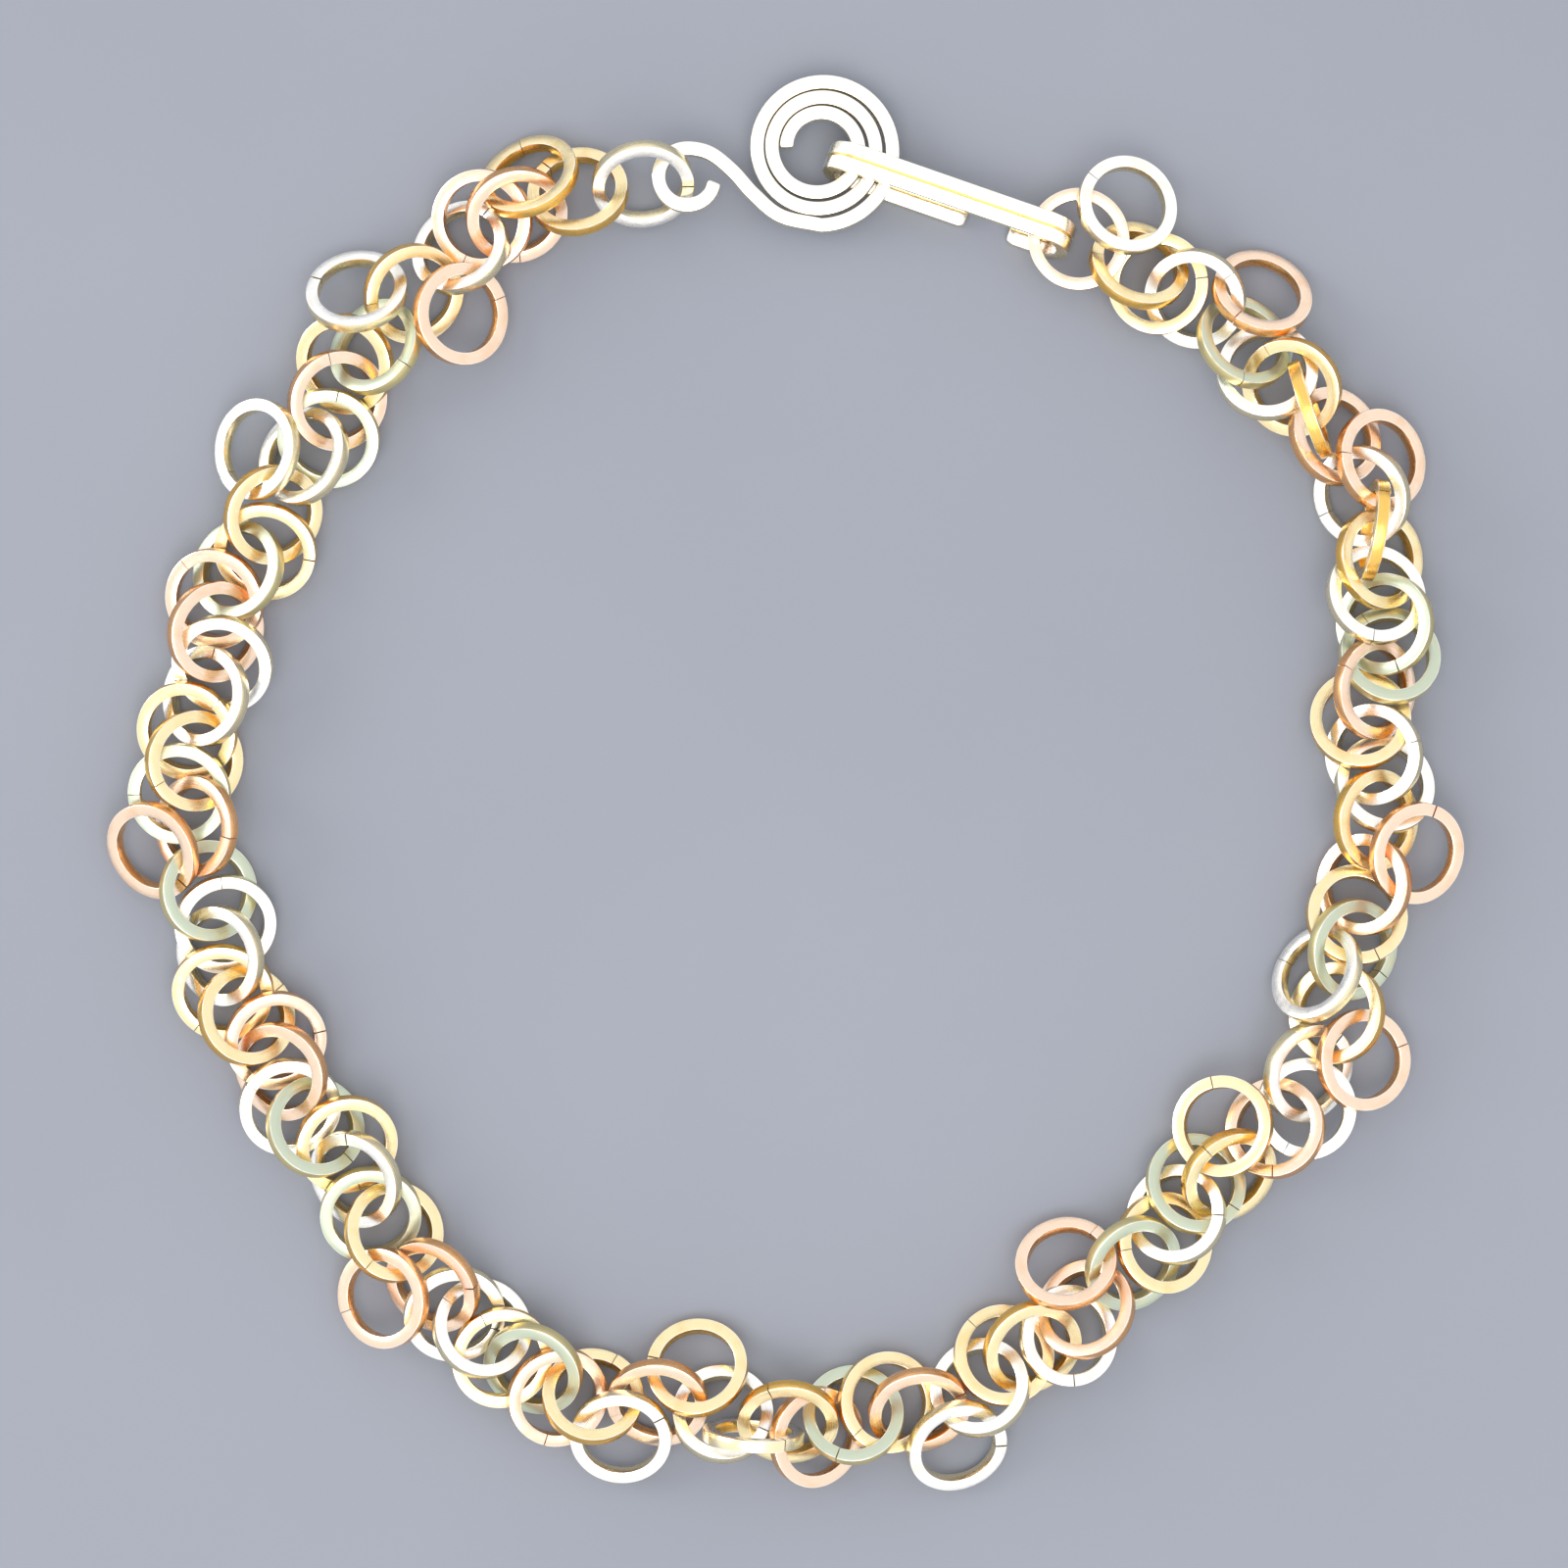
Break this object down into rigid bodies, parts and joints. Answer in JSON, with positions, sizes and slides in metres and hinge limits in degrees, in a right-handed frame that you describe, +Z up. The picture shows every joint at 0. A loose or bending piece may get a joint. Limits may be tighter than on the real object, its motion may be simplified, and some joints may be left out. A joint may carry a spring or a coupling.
{
  "type": "ring link necklace",
  "caption": "Loop necklace of interlocked square-wire rings in several gold colours, closed by a flat spiral and a long wire hook.",
  "frame": {"origin": "under the middle of the laid-out loop, on the table plane", "axes": "+Z up from the table, +Y from the lowest ring toward the clasp, +X toward the hook side"},
  "size_m": [0.1456, 0.1578, 0.0092],
  "materials": {
    "yellow_gold": "satin",
    "rose_gold": "satin",
    "green_gold": "brushed satin",
    "white_gold": "satin"
  },
  "bodies": {
    "ring_left_26": {"ring_left_26": "white_gold"},
    "ring_left_25": {"ring_left_25": "yellow_gold"},
    "ring_left_24": {"ring_left_24": "rose_gold"},
    "ring_left_23": {"ring_left_23": "white_gold"},
    "ring_left_22": {"ring_left_22": "yellow_gold"},
    "ring_left_21": {"ring_left_21": "green_gold"},
    "ring_left_20": {"ring_left_20": "rose_gold"},
    "ring_left_19": {"ring_left_19": "white_gold"},
    "ring_left_18": {"ring_left_18": "yellow_gold"},
    "ring_left_17": {"ring_left_17": "green_gold"},
    "ring_left_16": {"ring_left_16": "rose_gold"},
    "ring_left_15": {"ring_left_15": "white_gold"},
    "ring_left_14": {"ring_left_14": "yellow_gold"},
    "ring_left_13": {"ring_left_13": "rose_gold"},
    "ring_left_12": {"ring_left_12": "green_gold"},
    "ring_left_11": {"ring_left_11": "white_gold"},
    "ring_left_10": {"ring_left_10": "yellow_gold"},
    "ring_left_09": {"ring_left_09": "rose_gold"},
    "ring_left_08": {"ring_left_08": "green_gold"},
    "ring_left_07": {"ring_left_07": "white_gold"},
    "ring_left_06": {"ring_left_06": "yellow_gold"},
    "ring_left_05": {"ring_left_05": "rose_gold"},
    "ring_left_04": {"ring_left_04": "white_gold"},
    "ring_left_03": {"ring_left_03": "green_gold"},
    "ring_left_02": {"ring_left_02": "yellow_gold"},
    "ring_left_01": {"ring_left_01": "rose_gold"},
    "ring_lowest": {"ring_lowest": "white_gold"},
    "ring_right_01": {"ring_right_01": "yellow_gold"},
    "ring_right_02": {"ring_right_02": "green_gold"},
    "ring_right_03": {"ring_right_03": "rose_gold"},
    "ring_right_04": {"ring_right_04": "white_gold"},
    "ring_right_05": {"ring_right_05": "yellow_gold"},
    "ring_right_06": {"ring_right_06": "rose_gold"},
    "ring_right_07": {"ring_right_07": "green_gold"},
    "ring_right_08": {"ring_right_08": "white_gold"},
    "ring_right_09": {"ring_right_09": "yellow_gold"},
    "ring_right_10": {"ring_right_10": "rose_gold"},
    "ring_right_11": {"ring_right_11": "white_gold"},
    "ring_right_12": {"ring_right_12": "yellow_gold"},
    "ring_right_13": {"ring_right_13": "green_gold"},
    "ring_right_14": {"ring_right_14": "rose_gold"},
    "ring_right_15": {"ring_right_15": "yellow_gold"},
    "ring_right_16": {"ring_right_16": "white_gold"},
    "ring_right_17": {"ring_right_17": "rose_gold"},
    "ring_right_18": {"ring_right_18": "green_gold"},
    "ring_right_19": {"ring_right_19": "yellow_gold"},
    "ring_right_20": {"ring_right_20": "white_gold"},
    "ring_right_21": {"ring_right_21": "rose_gold"},
    "ring_right_22": {"ring_right_22": "yellow_gold"},
    "ring_right_23": {"ring_right_23": "green_gold"},
    "ring_right_24": {"ring_right_24": "white_gold"},
    "ring_right_25": {"ring_right_25": "yellow_gold"},
    "ring_right_26": {"ring_right_26": "rose_gold"},
    "spiral": {"spiral": "white_gold"},
    "hook": {"hook": "white_gold"}
  },
  "joints": [
    {"name": "link_left_01", "type": "hinge", "parent": "ring_lowest", "child": "ring_left_01", "pos_m": [-0.0112, -0.07224, 0.00355], "axis": [0.9893, -0.1436, 0.0237], "range_deg": [-15, 40]},
    {"name": "link_right_01", "type": "hinge", "parent": "ring_lowest", "child": "ring_right_01", "pos_m": [-0.00384, -0.07331, 0.00373], "axis": [0.9893, -0.1436, 0.0237], "range_deg": [-15, 40]},
    {"name": "link_left_02", "type": "hinge", "parent": "ring_left_01", "child": "ring_left_02", "pos_m": [-0.01856, -0.07122, 0.00367], "axis": [-0.9953, 0.0968, 0.0026], "range_deg": [-7, 40]},
    {"name": "link_right_02", "type": "hinge", "parent": "ring_right_01", "child": "ring_right_02", "pos_m": [0.00356, -0.07337, 0.00361], "axis": [-0.9953, 0.0968, 0.0026], "range_deg": [-7, 40]},
    {"name": "link_left_03", "type": "hinge", "parent": "ring_left_02", "child": "ring_left_03", "pos_m": [-0.02565, -0.06931, 0.00369], "axis": [0.9957, -0.0924, -0.0027], "range_deg": [-3, 40]},
    {"name": "link_right_03", "type": "hinge", "parent": "ring_right_02", "child": "ring_right_03", "pos_m": [0.01096, -0.07271, 0.00359], "axis": [0.9957, -0.0924, -0.0027], "range_deg": [-3, 40]},
    {"name": "link_left_04", "type": "hinge", "parent": "ring_left_03", "child": "ring_left_04", "pos_m": [-0.03193, -0.06549, 0.00354], "axis": [-0.9937, 0.1122, -0.0038], "range_deg": [-9, 40]},
    {"name": "link_right_04", "type": "hinge", "parent": "ring_right_03", "child": "ring_right_04", "pos_m": [0.01815, -0.07114, 0.00373], "axis": [-0.9937, 0.1122, -0.0038], "range_deg": [-9, 40]},
    {"name": "link_left_05", "type": "hinge", "parent": "ring_left_04", "child": "ring_left_05", "pos_m": [-0.03762, -0.06074, 0.00372], "axis": [0.994, -0.1096, -0.0025], "range_deg": [-17, 40]},
    {"name": "link_right_05", "type": "hinge", "parent": "ring_right_04", "child": "ring_right_05", "pos_m": [0.02458, -0.0676, 0.00356], "axis": [0.994, -0.1096, -0.0025], "range_deg": [-17, 40]},
    {"name": "link_left_06", "type": "hinge", "parent": "ring_left_05", "child": "ring_left_06", "pos_m": [-0.04262, -0.05528, 0.00363], "axis": [-0.9942, 0.1071, -0.0002], "range_deg": [-9, 40]},
    {"name": "link_right_06", "type": "hinge", "parent": "ring_right_05", "child": "ring_right_06", "pos_m": [0.03055, -0.06316, 0.00364], "axis": [-0.9942, 0.1071, -0.0002], "range_deg": [-9, 40]},
    {"name": "link_left_07", "type": "hinge", "parent": "ring_left_06", "child": "ring_left_07", "pos_m": [-0.04698, -0.04926, 0.00357], "axis": [0.994, -0.1095, 0.0016], "range_deg": [-19, 40]},
    {"name": "link_right_07", "type": "hinge", "parent": "ring_right_06", "child": "ring_right_07", "pos_m": [0.03626, -0.05843, 0.0037], "axis": [0.994, -0.1095, 0.0016], "range_deg": [-19, 40]},
    {"name": "link_left_08", "type": "hinge", "parent": "ring_left_07", "child": "ring_left_08", "pos_m": [-0.05142, -0.04331, 0.00374], "axis": [-0.9945, 0.1047, 0.0021], "range_deg": [-35, 40]},
    {"name": "link_right_08", "type": "hinge", "parent": "ring_right_07", "child": "ring_right_08", "pos_m": [0.04142, -0.05308, 0.00354], "axis": [-0.9945, 0.1047, 0.0021], "range_deg": [-35, 40]},
    {"name": "link_left_09", "type": "hinge", "parent": "ring_left_08", "child": "ring_left_09", "pos_m": [-0.05565, -0.03721, 0.00358], "axis": [0.9945, -0.105, 0.0012], "range_deg": [-27, 40]},
    {"name": "link_right_09", "type": "hinge", "parent": "ring_right_08", "child": "ring_right_09", "pos_m": [0.04685, -0.04804, 0.0037], "axis": [0.9945, -0.105, 0.0012], "range_deg": [-27, 40]},
    {"name": "link_left_10", "type": "hinge", "parent": "ring_left_09", "child": "ring_left_10", "pos_m": [-0.05954, -0.03089, 0.00362], "axis": [-0.9941, 0.1087, -0.0002], "range_deg": [-7, 40]},
    {"name": "link_right_10", "type": "hinge", "parent": "ring_right_09", "child": "ring_right_10", "pos_m": [0.05244, -0.04315, 0.00365], "axis": [-0.9941, 0.1087, -0.0002], "range_deg": [-7, 40]},
    {"name": "link_left_11", "type": "hinge", "parent": "ring_left_10", "child": "ring_left_11", "pos_m": [-0.06298, -0.02434, 0.00372], "axis": [0.9942, -0.1076, -0.0013], "range_deg": [-15, 40]},
    {"name": "link_right_11", "type": "hinge", "parent": "ring_right_10", "child": "ring_right_11", "pos_m": [0.05692, -0.03732, 0.00356], "axis": [0.9942, -0.1076, -0.0013], "range_deg": [-15, 40]},
    {"name": "link_left_12", "type": "hinge", "parent": "ring_left_11", "child": "ring_left_12", "pos_m": [-0.06517, -0.01728, 0.00355], "axis": [-0.9943, 0.1069, -0.0015], "range_deg": [-40, 40]},
    {"name": "link_right_12", "type": "hinge", "parent": "ring_right_11", "child": "ring_right_12", "pos_m": [0.06039, -0.03078, 0.00373], "axis": [-0.9943, 0.1069, -0.0015], "range_deg": [-40, 40]},
    {"name": "link_left_13", "type": "hinge", "parent": "ring_left_12", "child": "ring_left_13", "pos_m": [-0.06651, -0.00997, 0.00368], "axis": [0.9943, -0.1064, -0.0007], "range_deg": [-35, 40]},
    {"name": "link_right_13", "type": "hinge", "parent": "ring_right_12", "child": "ring_right_13", "pos_m": [0.06293, -0.02383, 0.00359], "axis": [0.9943, -0.1064, -0.0007], "range_deg": [-35, 40]},
    {"name": "link_left_14", "type": "hinge", "parent": "ring_left_13", "child": "ring_left_14", "pos_m": [-0.06732, -0.00261, 0.00367], "axis": [-0.9944, 0.1053, 0.0005], "range_deg": [-40, 40]},
    {"name": "link_right_14", "type": "hinge", "parent": "ring_right_13", "child": "ring_right_14", "pos_m": [0.06446, -0.01657, 0.0036], "axis": [-0.9944, 0.1053, 0.0005], "range_deg": [-40, 40]},
    {"name": "link_left_15", "type": "hinge", "parent": "ring_left_14", "child": "ring_left_15", "pos_m": [-0.06683, 0.00477, 0.00355], "axis": [0.9945, -0.1052, 0.0014], "range_deg": [-40, 40]},
    {"name": "link_right_15", "type": "hinge", "parent": "ring_right_14", "child": "ring_right_15", "pos_m": [0.06578, -0.00926, 0.00373], "axis": [0.9945, -0.1052, 0.0014], "range_deg": [-40, 40]},
    {"name": "link_left_16", "type": "hinge", "parent": "ring_left_15", "child": "ring_left_16", "pos_m": [-0.06558, 0.01209, 0.00373], "axis": [-0.9944, 0.1053, 0.0013], "range_deg": [-40, 40]},
    {"name": "link_right_16", "type": "hinge", "parent": "ring_right_15", "child": "ring_right_16", "pos_m": [0.06638, -0.00188, 0.00355], "axis": [-0.9944, 0.1053, 0.0013], "range_deg": [-40, 40]},
    {"name": "link_left_17", "type": "hinge", "parent": "ring_left_16", "child": "ring_left_17", "pos_m": [-0.06374, 0.01926, 0.00361], "axis": [0.9945, -0.1048, 0.0004], "range_deg": [-40, 40]},
    {"name": "link_right_17", "type": "hinge", "parent": "ring_right_16", "child": "ring_right_17", "pos_m": [0.0663, 0.00556, 0.00366], "axis": [0.9945, -0.1048, 0.0004], "range_deg": [-40, 40]},
    {"name": "link_left_18", "type": "hinge", "parent": "ring_left_17", "child": "ring_left_18", "pos_m": [-0.0605, 0.0259, 0.00358], "axis": [-0.9949, 0.1011, -0.0008], "range_deg": [-40, 40]},
    {"name": "link_right_18", "type": "hinge", "parent": "ring_right_17", "child": "ring_right_18", "pos_m": [0.06691, 0.01295, 0.00369], "axis": [-0.9949, 0.1011, -0.0008], "range_deg": [-40, 40]},
    {"name": "link_left_19", "type": "hinge", "parent": "ring_left_18", "child": "ring_left_19", "pos_m": [-0.05675, 0.03231, 0.00374], "axis": [0.9954, -0.0962, -0.0015], "range_deg": [-40, 37]},
    {"name": "link_right_19", "type": "hinge", "parent": "ring_right_18", "child": "ring_right_19", "pos_m": [0.06721, 0.02033, 0.00354], "axis": [0.9954, -0.0962, -0.0015], "range_deg": [-40, 37]},
    {"name": "link_left_20", "type": "hinge", "parent": "ring_left_19", "child": "ring_left_20", "pos_m": [-0.05312, 0.0388, 0.00357], "axis": [-0.9956, 0.0939, -0.0012], "range_deg": [-40, 37]},
    {"name": "link_right_20", "type": "hinge", "parent": "ring_right_19", "child": "ring_right_20", "pos_m": [0.06588, 0.02757, 0.00371], "axis": [-0.9956, 0.0939, -0.0012], "range_deg": [-40, 37]},
    {"name": "link_left_21", "type": "hinge", "parent": "ring_left_20", "child": "ring_left_21", "pos_m": [-0.04904, 0.04498, 0.00364], "axis": [0.9957, -0.0927, 0], "range_deg": [-40, 15]},
    {"name": "link_right_21", "type": "hinge", "parent": "ring_right_20", "child": "ring_right_21", "pos_m": [0.06335, 0.03452, 0.00363], "axis": [0.9957, -0.0927, 0], "range_deg": [-40, 15]},
    {"name": "link_left_22", "type": "hinge", "parent": "ring_left_21", "child": "ring_left_22", "pos_m": [-0.04472, 0.05103, 0.00371], "axis": [-0.9951, 0.0986, 0.0013], "range_deg": [-40, 23]},
    {"name": "link_right_22", "type": "hinge", "parent": "ring_right_21", "child": "ring_right_22", "pos_m": [0.05939, 0.04071, 0.00357], "axis": [-0.9951, 0.0986, 0.0013], "range_deg": [-40, 23]},
    {"name": "link_left_23", "type": "hinge", "parent": "ring_left_22", "child": "ring_left_23", "pos_m": [-0.03992, 0.05666, 0.00354], "axis": [0.9937, -0.1122, 0.002], "range_deg": [-40, 23]},
    {"name": "link_right_23", "type": "hinge", "parent": "ring_right_22", "child": "ring_right_23", "pos_m": [0.05423, 0.04603, 0.00374], "axis": [0.9937, -0.1122, 0.002], "range_deg": [-40, 23]},
    {"name": "link_left_24", "type": "hinge", "parent": "ring_left_23", "child": "ring_left_24", "pos_m": [-0.03408, 0.06111, 0.00369], "axis": [-0.9927, 0.1206, 0.0014], "range_deg": [-40, 17]},
    {"name": "link_right_24", "type": "hinge", "parent": "ring_right_23", "child": "ring_right_24", "pos_m": [0.04877, 0.05105, 0.00358], "axis": [-0.9927, 0.1206, 0.0014], "range_deg": [-40, 17]},
    {"name": "link_left_25", "type": "hinge", "parent": "ring_left_24", "child": "ring_left_25", "pos_m": [-0.02744, 0.06431, 0.00366], "axis": [0.992, -0.1262, -0.0008], "range_deg": [-40, 0]},
    {"name": "link_right_25", "type": "hinge", "parent": "ring_right_24", "child": "ring_right_25", "pos_m": [0.04279, 0.05538, 0.0036], "axis": [0.992, -0.1262, -0.0008], "range_deg": [-40, 0]},
    {"name": "link_left_26", "type": "hinge", "parent": "ring_left_25", "child": "ring_left_26", "pos_m": [-0.02026, 0.06599, 0.00403], "axis": [-0.9918, 0.1274, 0.0063], "range_deg": [-40, 0]},
    {"name": "link_right_26", "type": "hinge", "parent": "ring_right_25", "child": "ring_right_26", "pos_m": [0.03619, 0.05874, 0.00367], "axis": [-0.9918, 0.1274, 0.0063], "range_deg": [-40, 0]},
    {"name": "link_spiral", "type": "hinge", "parent": "ring_left_26", "child": "spiral", "pos_m": [-0.01156, 0.06712, 0.00462], "axis": [0.9908, -0.1324, -0.0265], "range_deg": [-7, 0]},
    {"name": "link_hook", "type": "hinge", "parent": "ring_right_26", "child": "hook", "pos_m": [0.02848, 0.06177, 0.00355], "axis": [0.9908, -0.1324, -0.0265], "range_deg": [-7, 0]}
  ],
  "couplings": [
    {"joint": "link_right_01", "follows": "link_left_01", "ratio": 1},
    {"joint": "link_right_02", "follows": "link_left_02", "ratio": 1},
    {"joint": "link_right_03", "follows": "link_left_03", "ratio": 1},
    {"joint": "link_right_04", "follows": "link_left_04", "ratio": 1},
    {"joint": "link_right_05", "follows": "link_left_05", "ratio": 1},
    {"joint": "link_right_06", "follows": "link_left_06", "ratio": 1},
    {"joint": "link_right_07", "follows": "link_left_07", "ratio": 1},
    {"joint": "link_right_08", "follows": "link_left_08", "ratio": 1},
    {"joint": "link_right_09", "follows": "link_left_09", "ratio": 1},
    {"joint": "link_right_10", "follows": "link_left_10", "ratio": 1},
    {"joint": "link_right_11", "follows": "link_left_11", "ratio": 1},
    {"joint": "link_right_12", "follows": "link_left_12", "ratio": 1},
    {"joint": "link_right_13", "follows": "link_left_13", "ratio": 1},
    {"joint": "link_right_14", "follows": "link_left_14", "ratio": 1},
    {"joint": "link_right_15", "follows": "link_left_15", "ratio": 1},
    {"joint": "link_right_16", "follows": "link_left_16", "ratio": 1},
    {"joint": "link_right_17", "follows": "link_left_17", "ratio": 1},
    {"joint": "link_right_18", "follows": "link_left_18", "ratio": 1},
    {"joint": "link_right_19", "follows": "link_left_19", "ratio": 1},
    {"joint": "link_right_20", "follows": "link_left_20", "ratio": 1},
    {"joint": "link_right_21", "follows": "link_left_21", "ratio": 1},
    {"joint": "link_right_22", "follows": "link_left_22", "ratio": 1},
    {"joint": "link_right_23", "follows": "link_left_23", "ratio": 1},
    {"joint": "link_right_24", "follows": "link_left_24", "ratio": 1},
    {"joint": "link_right_25", "follows": "link_left_25", "ratio": 1},
    {"joint": "link_right_26", "follows": "link_left_26", "ratio": 1},
    {"joint": "link_hook", "follows": "link_spiral", "ratio": 1}
  ]
}
